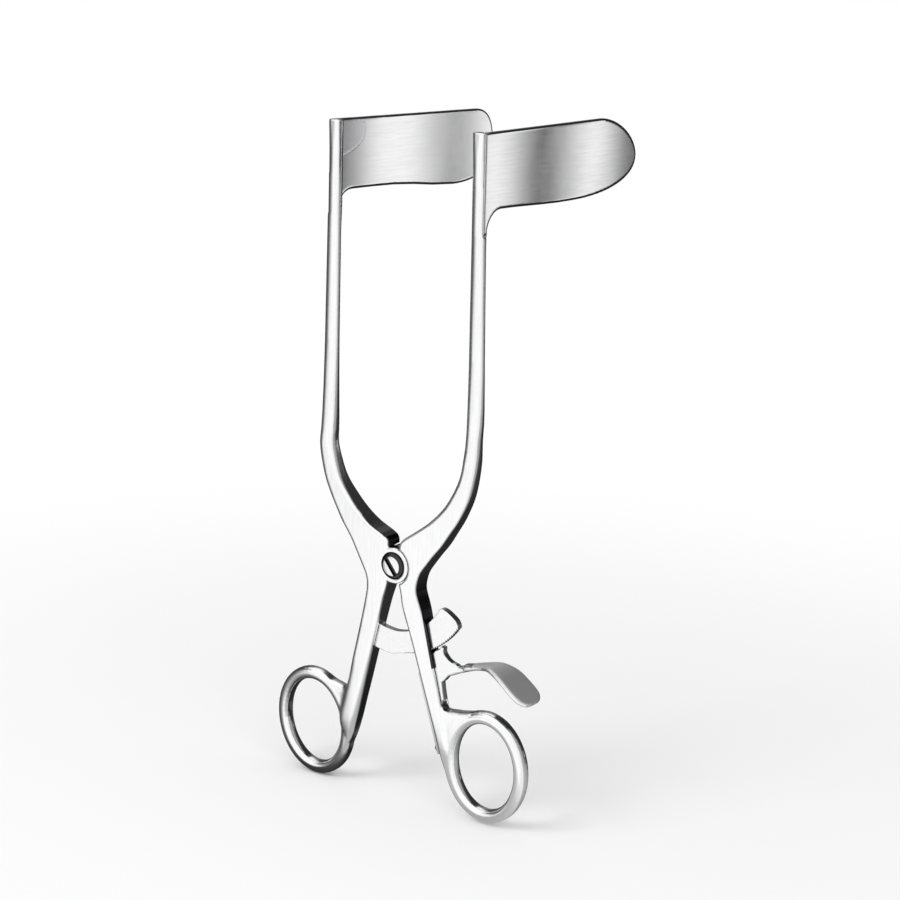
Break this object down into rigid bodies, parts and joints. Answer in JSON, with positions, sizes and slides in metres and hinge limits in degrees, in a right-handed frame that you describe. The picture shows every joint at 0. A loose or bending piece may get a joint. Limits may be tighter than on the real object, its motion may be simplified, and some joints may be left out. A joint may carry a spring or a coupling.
{
  "type": "vaginal retractor",
  "caption": "Self-retaining vaginal retractor: two ring-handled arms on a screw joint, long straight shanks with flat right-angled blades, toothed bar and release lever.",
  "frame": {"origin": "centre of the flat rear end of the joint screw", "axes": "+Z along the instrument from the finger rings to the blades, +Y the way the blades reach, +X across it towards the arm with the release lever"},
  "size_m": [0.1035, 0.0965, 0.2225],
  "materials": {
    "polished_steel": "polished stainless steel",
    "satin_steel": "satin stainless steel",
    "spring_steel": "satin spring steel"
  },
  "bodies": {
    "right_side": {"right_arm": "polished_steel", "right_blade": "satin_steel", "pivot_screw": "polished_steel", "lever_pin": "polished_steel", "leaf_spring": "spring_steel", "spring_screw": "polished_steel"},
    "left_side": {"left_arm": "polished_steel", "left_blade": "satin_steel", "ratchet_bar": "satin_steel", "bar_pin_upper": "polished_steel", "bar_pin_lower": "polished_steel"},
    "lever": {"release_lever": "polished_steel"}
  },
  "joints": [
    {"name": "jaw", "type": "hinge", "parent": "right_side", "child": "left_side", "pos_m": [0, -0.0042, 0], "axis": [0, 1, 0], "range_deg": [-28, 18]},
    {"name": "release", "type": "hinge", "parent": "right_side", "child": "lever", "pos_m": [0.01312, -0.0042, -0.03245], "axis": [0, 1, 0], "range_deg": [-3, 8], "stiffness_Nm_per_rad": 0.2, "springref_deg": -11.46, "deforming": ["leaf_spring"]}
  ]
}
